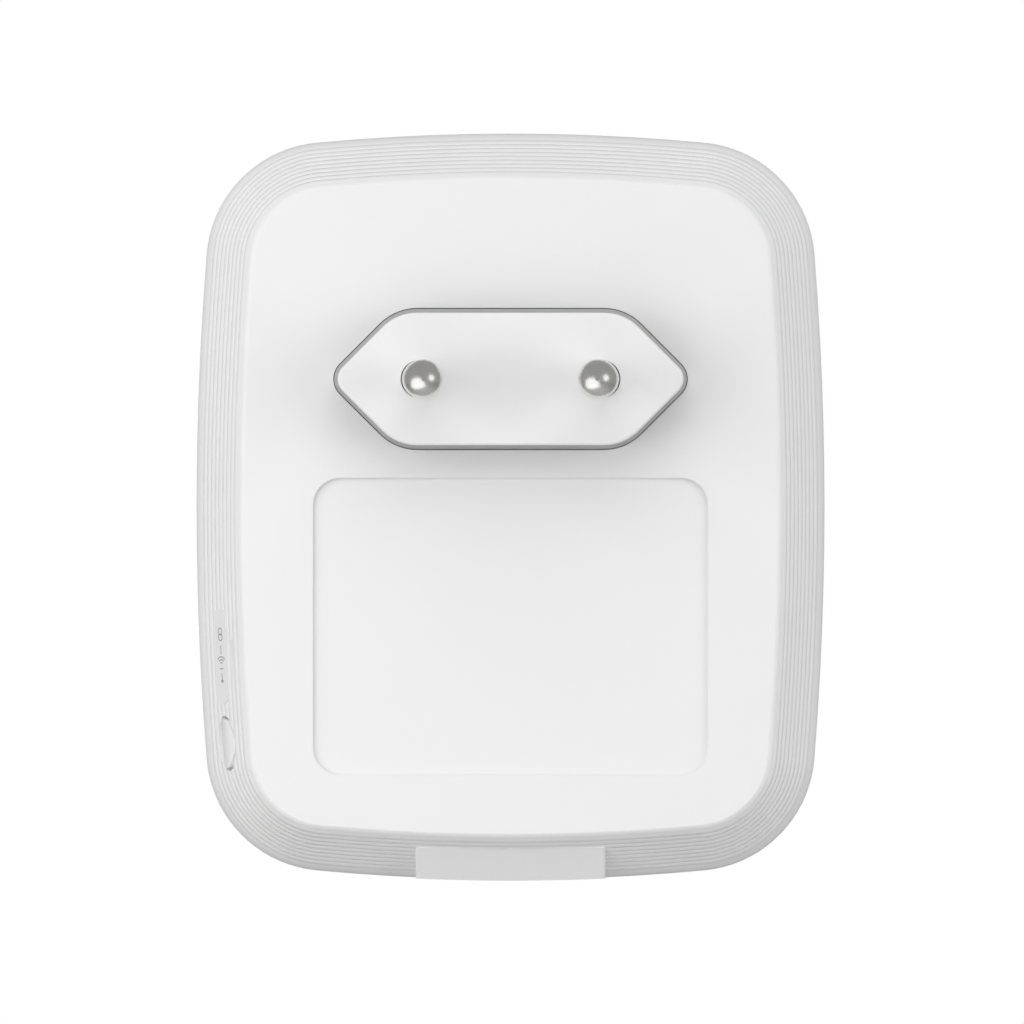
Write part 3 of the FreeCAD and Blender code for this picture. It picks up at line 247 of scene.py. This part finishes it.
def laminate(name, mask, bare, track_size, weave=0.45):
    """A circuit board: solder mask over copper tracks, tinned dots, and glass weave at the cut edges."""
    made = Finish(name, Coat_Weight=0.25, Coat_Roughness=0.2)
    flat = made.node("ShaderNodeCombineXYZ", {}, made.across, made.up, 0.0)
    grid = made.node("ShaderNodeTexBrick", {"offset": 0.5}, flat, Scale=1 / track_size, Mortar_Size=0.012,
                     Row_Height=0.22, Brick_Width=1.3, Color1=(0.0, 0.0, 0.0), Color2=(1.0, 1.0, 1.0),
                     Mortar=(0.5, 0.5, 0.5), out="Fac")
    blocks = made.noise(track_size * 1.6, 0.0)
    track = grid * blocks.ramp(0.42, 0.5)
    dots = 1 - made.cells(track_size * 0.62).ramp(0.10, 0.14)
    dots = dots * made.noise(track_size * 1.1, 0.0).ramp(0.55, 0.6)
    green = made.mixed(track, mask, tinted(mask, 1.7))
    cloth = made.noise(weave, 1.0)
    green = made.mixed(cloth * 0.35, green, tinted(mask, 0.75))
    made.set("Base Color", made.mixed(dots, green, bare))
    made.set("Metallic", dots * 0.9)
    made.set("Roughness", 0.34 + 0.10 * cloth)
    made.relief(track * 0.6 + dots * 0.8 + cloth * 0.2, 0.03)
    return made.material


def moulded_chip(name, board_level, faces_room=True, colour=(0.022, 0.022, 0.024)):
    """Black epoxy with a fine matt grain; the legs at the board are tinned."""
    made = Finish(name)
    height = made.level - board_level if faces_room else board_level - made.level
    leg_height, fade = 0.22, 0.02
    legs = 1 - height.ramp(leg_height, leg_height + fade)
    grain = made.noise(0.09, 3.0, 0.65)
    epoxy = made.mixed(grain, tinted(colour, 0.8), tinted(colour, 1.5))
    made.set("Base Color", made.mixed(legs, epoxy, (0.62, 0.62, 0.60)))
    made.set("Metallic", legs)
    made.set("Roughness", (1 - legs) * (0.52 + 0.12 * grain) + legs * 0.3)
    made.relief(grain, 0.006)
    return made.material


def tape_wrap():
    """Yellow polyester tape wound in overlapping turns."""
    made = Finish("winding_tape_wrap", Coat_Weight=0.4, Coat_Roughness=0.15)
    laps = made.rings("Z", 2.6)
    wrinkle = made.noise(0.8, 4.0, 0.55, (3, 3, 1))
    shade = laps.ramp(0.0, 0.12)
    made.set("Base Color", made.mixed(shade, (0.50, 0.30, 0.02), (0.78, 0.55, 0.05)))
    made.set("Roughness", 0.26 + 0.12 * wrinkle)
    made.relief(shade * 0.5 + wrinkle * 0.5, 0.05)
    return made.material


def ferrite():
    made = Finish("ground_ferrite")
    grain = made.noise(0.07, 5.0, 0.7)
    grinding = made.noise(0.1, 2.0, 0.5, (12, 1, 1))
    made.set("Base Color", made.mixed(grain, (0.030, 0.030, 0.032), (0.085, 0.085, 0.088)))
    made.set("Roughness", 0.50 + 0.16 * grinding)
    made.relief(grain * 0.6 + grinding * 0.4, 0.012)
    return made.material


def enamelled_wire(centre):
    """Copper wire wound round the choke's ring, seen as fine turns."""
    made = Finish("enamelled_wire", Metallic=0.85, Coat_Weight=0.5, Coat_Roughness=0.12)
    off_x = made.across - centre[0]
    off_z = made.up - centre[2]
    angle = made.node("ShaderNodeMath", {"operation": "ARCTAN2"}, off_z, off_x)
    turn_count = 52
    turns = made.node("ShaderNodeMath", {"operation": "SINE"}, angle * turn_count)
    bulge = turns * 0.5 + 0.5
    # painted shade: the copper is painted darker in the valleys between turns and full colour on their crests
    made.set("Base Color", made.mixed(bulge, (0.23, 0.06, 0.02), (0.72, 0.29, 0.11)))
    made.set("Roughness", 0.22 + 0.10 * made.noise(0.6))
    made.relief(bulge, 0.08)
    return made.material


def can_sleeve(name, node):
    """An electrolytic capacitor: a shrunk sleeve with a pale polarity stripe and a bare, scored top."""
    low, high = box_mm(node)
    middle_x, middle_z = (low[0] + high[0]) / 2, (low[2] + high[2]) / 2
    radius = (high[0] - low[0]) / 2
    made = Finish(name, Coat_Weight=0.3, Coat_Roughness=0.15)
    off_x = made.across - middle_x
    off_z = made.up - middle_z
    top = made.level.ramp(high[1] - 0.06, high[1] - 0.03)
    inside = 1 - (off_x * off_x + off_z * off_z).ramp((radius * 0.82) ** 2, (radius * 0.84) ** 2)
    bare = top * inside
    score = 0.12
    scored = made.node("ShaderNodeMath", {"operation": "MAXIMUM"}, abs(off_x) < score, abs(off_z) < score)
    cross = 1 - scored * 0.5
    stripe = (off_x > radius * 0.72) * (1 - top)
    sleeve = made.mixed(stripe, (0.012, 0.016, 0.045), (0.45, 0.47, 0.50))
    # painted shade: the score lines are painted darker than the bare top, as shade in their grooves
    metal = made.mixed(cross, (0.20, 0.20, 0.20), (0.74, 0.74, 0.73))
    made.set("Base Color", made.mixed(bare, sleeve, metal))
    made.set("Metallic", bare)
    made.set("Roughness", 0.30 + 0.08 * made.noise(0.5, 3.0))
    made.relief(cross * bare * 0.5 + made.noise(0.4) * 0.2, 0.06)
    return made.material


def capped_fuse(node):
    """A ceramic fuse tube with a nickel cap at each end."""
    low, high = box_mm(node)
    made = Finish("fuse_tube")
    middle = (low[0] + high[0]) / 2
    half_length = (high[0] - low[0]) / 2
    cap = abs(made.across - middle).ramp(half_length - 1.9, half_length - 1.85)
    grain = made.noise(0.15, 3.0)
    body = made.mixed(grain, (0.62, 0.56, 0.46), (0.74, 0.69, 0.60))
    made.set("Base Color", made.mixed(cap, body, (0.70, 0.69, 0.66)))
    made.set("Metallic", cap)
    made.set("Roughness", 0.55 - 0.33 * cap + 0.08 * grain)
    made.relief(cap * 0.7 + grain * 0.1, 0.08)
    return made.material


def dipped(name, colour):
    """A disc dipped in epoxy: glossy, with orange peel."""
    made = Finish(name, Coat_Weight=0.5, Coat_Roughness=0.1)
    peel = made.noise(0.55, 2.0)
    made.set("Base Color", made.mixed(peel, tinted(colour, 0.8), colour))
    made.set("Roughness", 0.30 + 0.10 * peel)
    made.relief(peel, 0.05)
    return made.material


def clear_guide():
    """Clear acrylic with a frosted tip, faintly bubbled by moulding."""
    made = Finish("clear_guide", Transmission_Weight=0.75, IOR=1.49)
    flow = made.noise(1.5, 2.0)
    end = face_level("light_guide")
    tip = made.level.ramp(end - 0.6, end - 0.2)
    made.set("Base Color", made.mixed(tip, (0.90, 0.93, 0.94), (0.80, 0.82, 0.83)))
    made.set("Roughness", 0.06 + 0.06 * flow + 0.30 * tip)
    made.relief(flow, 0.01)
    return made.material


def led_chip():
    """A surface mounted light: a pale case with a yellow phosphor window on top."""
    made = Finish("led_chip", Coat_Weight=0.3)
    top = face_level("status_leds")
    window = made.level.ramp(top - 0.1, top - 0.05)
    grain = made.noise(0.12, 3.0)
    phosphor = made.mixed(grain, (0.72, 0.60, 0.14), (0.86, 0.76, 0.24))
    made.set("Base Color", made.mixed(window, (0.80, 0.80, 0.78), phosphor))
    made.set("Roughness", 0.35 + 0.15 * grain)
    made.relief(grain, 0.01)
    return made.material


def printed_aerial(name):
    """A small board whose copper aerial shows as a folded track under black mask."""
    made = Finish(name, Coat_Weight=0.2, Coat_Roughness=0.25)
    fold = made.rings("Z", 5.0)
    track = fold.ramp(0.55, 0.6)
    cloth = made.noise(0.4, 1.0)
    made.set("Base Color", made.mixed(track, (0.012, 0.016, 0.014), (0.05, 0.06, 0.045)))
    made.set("Roughness", 0.36 + 0.1 * cloth)
    made.relief(track * 0.7 + cloth * 0.3, 0.03)
    return made.material


def soft_silicone():
    made = Finish("filled_silicone")
    crumb = made.noise(0.25, 4.0, 0.65)
    made.set("Base Color", made.mixed(crumb, (0.19, 0.27, 0.34), (0.26, 0.35, 0.42)))
    made.set("Roughness", 0.7 + 0.15 * crumb)
    made.relief(crumb, 0.03)
    return made.material


def coax_jacket():
    """The lead's jacket, with the braid just showing through."""
    made = Finish("coax_jacket", Coat_Weight=0.4, Coat_Roughness=0.2)
    braid = made.cells(0.16)
    made.set("Base Color", made.mixed(braid, (0.020, 0.020, 0.022), (0.045, 0.045, 0.048)))
    made.set("Roughness", 0.34 + 0.1 * made.noise(0.8))
    made.relief(braid, 0.012)
    return made.material


# ---------------------------------------------------------------- smooth copies of the outer mouldings

def smooth_copy(name, body):
    """A merged copy of a CAD node whose curved faces are shaded smooth up to the crease angle."""
    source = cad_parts[name]
    shape = bmesh.new()
    shape.from_mesh(source.data)
    bmesh.ops.remove_doubles(shape, verts=shape.verts, dist=WELD_DISTANCE)
    for face in shape.faces:
        face.smooth = True
        face.material_index = 0
    for edge in shape.edges:
        edge.smooth = len(edge.link_faces) == 2 and edge.calc_face_angle() < CREASE
    mesh = bpy.data.meshes.new(name + "_smooth")
    shape.to_mesh(mesh)
    shape.free()
    mesh.materials.append(source.data.materials[0])
    copy = bpy.data.objects.new(name + "_smooth", mesh)
    bpy.context.scene.collection.objects.link(copy)
    weighted = copy.modifiers.new("weighted_normals", "WEIGHTED_NORMAL")
    weighted.keep_sharp = True
    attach(copy, body)
    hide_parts(name)


def smooth_outer_mouldings():
    for name in ("rear_cover", "front_cover", "plug_insert", "pin_sleeve_live", "pin_sleeve_neutral",
                 "pin_live", "pin_neutral"):
        smooth_copy(name, "casing")
    smooth_copy("pair_button", "pair_button")


# ---------------------------------------------------------------- giving each node its finish

def dress(nodes, material):
    """Puts one material in every slot of some CAD nodes."""
    for name in nodes:
        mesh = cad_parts[name].data
        for index in range(len(mesh.materials)):
            mesh.materials[index] = material


def choke_centre():
    low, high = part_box("choke_core")
    return tuple((one + other) / 2 / MM for one, other in zip(low, high))


def dress_casing():
    white = (0.80, 0.80, 0.80)
    dress(["rear_cover", "front_cover"], moulded("casing_plastic", white))
    dress(["plug_insert"], plug_moulding(white))
    dress(["pin_sleeve_live", "pin_sleeve_neutral"], moulded("sleeve_plastic", white, 0.36, 0.25, 0.002))
    dress(["pair_button"], moulded("key_plastic", tinted(white, 0.99), 0.34, 0.2, 0.002))
    dress(["pin_live", "pin_neutral"], nickel())


def dress_power_side():
    power = face_level("power_board")
    dress(["power_board"], laminate("paper_laminate", (0.40, 0.26, 0.10), (0.66, 0.66, 0.63), 3.4))
    dress(["power_screws", "main_screws"], machine_screw())
    dress(["contact_spring_live", "contact_spring_neutral"],
          rolled_metal("phosphor_bronze", (0.66, 0.44, 0.20)))
    dress(["transformer_core", "choke_core"], ferrite())
    dress(["transformer_winding"], tape_wrap())
    dress(["transformer_bobbin"], moulded("bobbin_plastic", (0.03, 0.03, 0.03), 0.4))
    dress(["choke_winding"], enamelled_wire(choke_centre()))
    for name in ("bulk_capacitor_left", "bulk_capacitor_right", "output_capacitor"):
        dress([name], can_sleeve(name + "_sleeve", name))
    dress(["fuse"], capped_fuse("fuse"))
    dress(["varistor"], dipped("varistor_coat", (0.02, 0.10, 0.32)))
    dress(["safety_capacitor"], dipped("safety_capacitor_coat", (0.05, 0.20, 0.50)))
    dress(["filter_capacitor"], moulded("film_case", (0.70, 0.50, 0.06), 0.35, 0.3))
    dress(["bridge_rectifier", "power_controller", "output_diode"], moulded_chip("power_epoxy", power))
    dress(["optocoupler"], moulded_chip("opto_epoxy", power, True, (0.52, 0.52, 0.50)))


def dress_main_side():
    dress(["main_board"], laminate("glass_laminate", (0.012, 0.11, 0.035), (0.70, 0.70, 0.66), 2.2))
    dress(["line_transformer", "flash_memory", "power_inductor"],
          moulded_chip("back_epoxy", back_level("main_board"), False))
    dress(["radio_chip", "memory_chip"], moulded_chip("front_epoxy", face_level("main_board")))
    dress(["board_link"], moulded("header_plastic", (0.02, 0.02, 0.02), 0.45))
    dress(["port_housing"], moulded("port_plastic", (0.022, 0.022, 0.024), 0.40, 0.2, 0.003))
    dress(["switch_body"], moulded("switch_plastic", (0.025, 0.025, 0.027), 0.42))
    dress(["switch_plunger"], moulded("stem_plastic", (0.62, 0.56, 0.42), 0.4))
    dress(["link_pins"], rolled_metal("flashed_pins", (0.80, 0.60, 0.26), 0.24, (1, 8, 1)))
    dress(["port_contacts", "aerial_plug_left", "aerial_plug_right"],
          rolled_metal("gold_plate", (0.86, 0.62, 0.24), 0.2))
    dress(["port_shield", "shield_can", "clock_crystal"],
          rolled_metal("tinned_sheet", (0.70, 0.70, 0.68), 0.3, (8, 1, 1)))
    dress(["heat_spreader"], rolled_metal("spreader_sheet", (0.74, 0.75, 0.76), 0.4, (10, 1, 1)))
    dress(["thermal_pad"], soft_silicone())
    dress(["insulation_sheet"], moulded("polyester_film", (0.03, 0.03, 0.03), 0.25, 0.6, 0.001))
    dress(["status_leds"], led_chip())
    dress(["light_guide"], clear_guide())
    dress(["aerial_left", "aerial_right"], printed_aerial("aerial_board"))
    dress(["aerial_lead_left", "aerial_lead_right"], coax_jacket())


# ---------------------------------------------------------------- printed mark

SIDE_ARC = 0.327  # the radius of the cover's bowed side
SLOPE_INSET = 4.75 * MM
SLOPE_DEPTH = 7.0 * MM
PAD_DROP = 15.4 * MM
INK_LIFT = 0.112 * MM
INK_THICKNESS = 0.008 * MM

# The mark is drawn in millimetres: X runs up along the pad and Y across it.
LINE_WIDTH = 0.11
RING_RADIUS = 0.34
RING_CENTRES = (2.55, 1.95)
WAVE_CENTRE = -0.9
WAVE_RADII = (0.25, 0.55, 0.85)
WAVE_HALF_ANGLE = 0.85
DASHES = (
    # each line's middle, its length and its turn
    ((0.65, 0), 0.9, 0),
    ((-1.3, 0), 0.6, math.pi / 2),
    ((-2.22, 0), 0.95, 0),
    ((-2.6, 0.125), 0.39, 0.7),
    ((-2.6, -0.125), 0.39, -0.7),
)


def pad_placing():
    """From the mark's own plane to the smooth pad on the left slope, just above its surface."""
    low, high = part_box("rear_cover")
    turn = math.asin(PAD_DROP / SIDE_ARC)
    lean = Matrix.Rotation(-turn, 3, "Y")
    out = lean @ Vector((-SLOPE_DEPTH, -SLOPE_INSET, 0)).normalized()
    along = lean @ Vector((0, 0, 1))
    side = SIDE_ARC + low[0] - (SIDE_ARC - SLOPE_INSET / 2) * math.cos(turn)
    middle = Vector((side, low[1] + SLOPE_DEPTH / 2, (low[2] + high[2]) / 2 - PAD_DROP))
    placing = Matrix((along, along.cross(out), out)).transposed().to_4x4() @ Matrix.Scale(MM, 4)
    placing.translation = middle + out * INK_LIFT
    return placing


def print_ring(shape, centre):
    """A thin flat ring round a point along the pad."""
    circle = bmesh.ops.create_circle(
        shape, cap_ends=True, segments=28, radius=RING_RADIUS + LINE_WIDTH / 2,
        matrix=Matrix.Translation((centre, 0, 0)))
    disc = circle["verts"][0].link_faces[0]
    bmesh.ops.inset_region(shape, faces=[disc], thickness=LINE_WIDTH, use_boundary=True,
                           use_even_offset=True)
    bmesh.ops.delete(shape, geom=[disc], context="FACES")


def print_wave(shape, radius):
    """A thin flat arc, swept from a short line across its own width."""
    start = Matrix.Translation((WAVE_CENTRE, 0, 0)) @ Matrix.Rotation(-WAVE_HALF_ANGLE, 4, "Z")
    inner = bmesh.ops.create_vert(shape, co=start @ Vector((radius - LINE_WIDTH / 2, 0, 0)))["vert"][0]
    edge = bmesh.ops.extrude_vert_indiv(shape, verts=[inner])
    outer = edge["verts"][0]
    outer.co = start @ Vector((radius + LINE_WIDTH / 2, 0, 0))
    bmesh.ops.spin(shape, geom=[inner, outer] + edge["edges"], cent=(WAVE_CENTRE, 0, 0), axis=(0, 0, 1),
                   angle=2 * WAVE_HALF_ANGLE, steps=12)


def print_dash(shape, middle, length, turn):
    """A thin flat line."""
    bmesh.ops.create_grid(
        shape, x_segments=1, y_segments=1, size=0.5,
        matrix=Matrix.Translation((*middle, 0)) @ Matrix.Rotation(turn, 4, "Z")
        @ Matrix.Diagonal((length, LINE_WIDTH, 1, 1)))


def make_mark():
    """A generic printed pictogram beside the push button: two linked rings, three waves and an arrow."""
    shape = bmesh.new()
    for centre in RING_CENTRES:
        print_ring(shape, centre)
    for radius in WAVE_RADII:
        print_wave(shape, radius)
    for middle, length, turn in DASHES:
        print_dash(shape, middle, length, turn)
    bmesh.ops.transform(shape, matrix=pad_placing(), verts=list(shape.verts))
    bmesh.ops.solidify(shape, geom=list(shape.faces), thickness=INK_THICKNESS)
    bmesh.ops.recalc_face_normals(shape, faces=list(shape.faces))
    mesh = bpy.data.meshes.new("pairing_mark")
    shape.to_mesh(mesh)
    shape.free()
    mark = bpy.data.objects.new("pairing_mark", mesh)
    bpy.context.scene.collection.objects.link(mark)
    ink = Finish("pad_print")
    patches = ink.noise(0.25, 3.0)
    ink.set("Base Color", ink.mixed(patches, (0.30, 0.30, 0.30), (0.40, 0.40, 0.40)))
    ink.set("Roughness", 0.5 + 0.1 * patches)
    mesh.materials.append(ink.material)
    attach(mark, "casing")


# ---------------------------------------------------------------- stage, lights and camera

def body_middle():
    low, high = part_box("rear_cover")
    return Vector(((low[0] + high[0]) / 2, low[1], (low[2] + high[2]) / 2))


FLOOR_LEVEL = -0.8
FLOOR_RADIUS = 3.0


def place_floor():
    mesh = bpy.data.meshes.new("floor")
    shape = bmesh.new()
    bmesh.ops.create_circle(shape, cap_ends=True, segments=96, radius=FLOOR_RADIUS,
                            matrix=Matrix.Translation((0, 0, FLOOR_LEVEL)))
    shape.to_mesh(mesh)
    shape.free()
    floor = bpy.data.objects.new("floor", mesh)
    bpy.context.scene.collection.objects.link(floor)
    paint = Finish("pale_floor")
    paint.set("Base Color", paint.mixed(paint.noise(40.0), (0.86, 0.86, 0.86), (0.88, 0.88, 0.88)))
    paint.set("Roughness", 0.8)
    mesh.materials.append(paint.material)


def place_light(name, direction, distance, size, power, mirrored=False):
    """A round soft light that faces the middle of the body. A mirrored one only shows in glossy surfaces."""
    data = bpy.data.lights.new(name, "AREA")
    data.shape = "DISK"
    data.size = size
    data.energy = power
    light = bpy.data.objects.new(name, data)
    way = Vector(direction).normalized()
    light.location = body_middle() + way * distance
    light.rotation_euler = way.to_track_quat("Z", "Y").to_euler()
    light.visible_glossy = mirrored
    light.visible_diffuse = not mirrored
    bpy.context.scene.collection.objects.link(light)


def place_world(shine, strength):
    """White behind the object, a grey room for metal to reflect, and an even dim glow for everything else."""
    world = bpy.data.worlds.new("studio")
    bpy.context.scene.world = world
    world.use_nodes = True
    tree = world.node_tree
    tree.nodes.clear()
    seen, room, glow = (tree.nodes.new("ShaderNodeBackground") for _ in range(3))
    for shed, power in ((seen, 1.0), (room, shine), (glow, strength)):
        shed.inputs["Color"].default_value = (1, 1, 1, 1)
        shed.inputs["Strength"].default_value = power
    rays = tree.nodes.new("ShaderNodeLightPath")
    gloss = tree.nodes.new("ShaderNodeMixShader")
    tree.links.new(rays.outputs["Is Glossy Ray"], gloss.inputs[0])
    tree.links.new(glow.outputs[0], gloss.inputs[1])
    tree.links.new(room.outputs[0], gloss.inputs[2])
    choice = tree.nodes.new("ShaderNodeMixShader")
    output = tree.nodes.new("ShaderNodeOutputWorld")
    tree.links.new(rays.outputs["Is Camera Ray"], choice.inputs[0])
    tree.links.new(gloss.outputs[0], choice.inputs[1])
    tree.links.new(seen.outputs[0], choice.inputs[2])
    tree.links.new(choice.outputs[0], output.inputs["Surface"])


def place_camera():
    """A long lens square on to the back at the height of the pins, shifted down to the body's middle."""
    rim_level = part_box("rear_cover")[1][1]
    middle = body_middle()
    data = bpy.data.cameras.new("camera")
    data.sensor_width = SENSOR_WIDTH
    data.lens = SENSOR_WIDTH * (CAMERA_DISTANCE + rim_level) / VIEW_WIDTH
    data.clip_start = 0.05
    data.clip_end = 20
    data.shift_y = (middle.z - AIM_BELOW) / VIEW_WIDTH
    camera = bpy.data.objects.new("camera", data)
    camera.location = (middle.x + AIM_RIGHT, -CAMERA_DISTANCE, 0)
    camera.rotation_euler = (math.pi / 2, 0, 0)
    bpy.context.scene.collection.objects.link(camera)
    bpy.context.scene.camera = camera


CAMERA_DISTANCE = 1.2
VIEW_WIDTH = 0.1060  # how much of the rim's plane the view spans
SENSOR_WIDTH = 36.0
AIM_RIGHT = 0.00015
AIM_BELOW = 0.00057
ROOM_SHINE = 0.36
ROOM_GLOW = 0.25
LIGHTS = {
    # name: the way from the body to the light, its distance, its width and its power
    "high_light": ((0, -1, 1.2), 1.4, 1.8, 11.1),
    "high_left_light": ((-1, -1, 0.9), 1.4, 1.6, 0.35),
    "right_light": ((1, -0.5, 0.05), 1.0, 0.6, 1.27),
    "low_fill": ((-0.2, -1, -0.6), 0.35, 0.3, 0.14),
    "left_fill": ((-1, -0.8, 0.1), 0.35, 0.35, 0.64),
    "right_fill": ((1, -0.8, 0.1), 0.35, 0.3, 0.31),
}
CARDS = {
    "low_left_card": ((-0.45, -0.6, -0.5), 0.9, 1.6, 6.0),
    "right_card": ((0.8, -0.7, 0.12), 1.0, 0.6, 0.9),
}


def make_stage():
    place_floor()
    place_world(ROOM_SHINE, ROOM_GLOW)
    for name, measures in LIGHTS.items():
        place_light(name, *measures)
    for name, measures in CARDS.items():
        place_light(name, *measures, mirrored=True)
    place_camera()
    bpy.context.scene.view_settings.view_transform = "Standard"


dress_casing()
dress_power_side()
dress_main_side()
smooth_outer_mouldings()
make_mark()
make_stage()
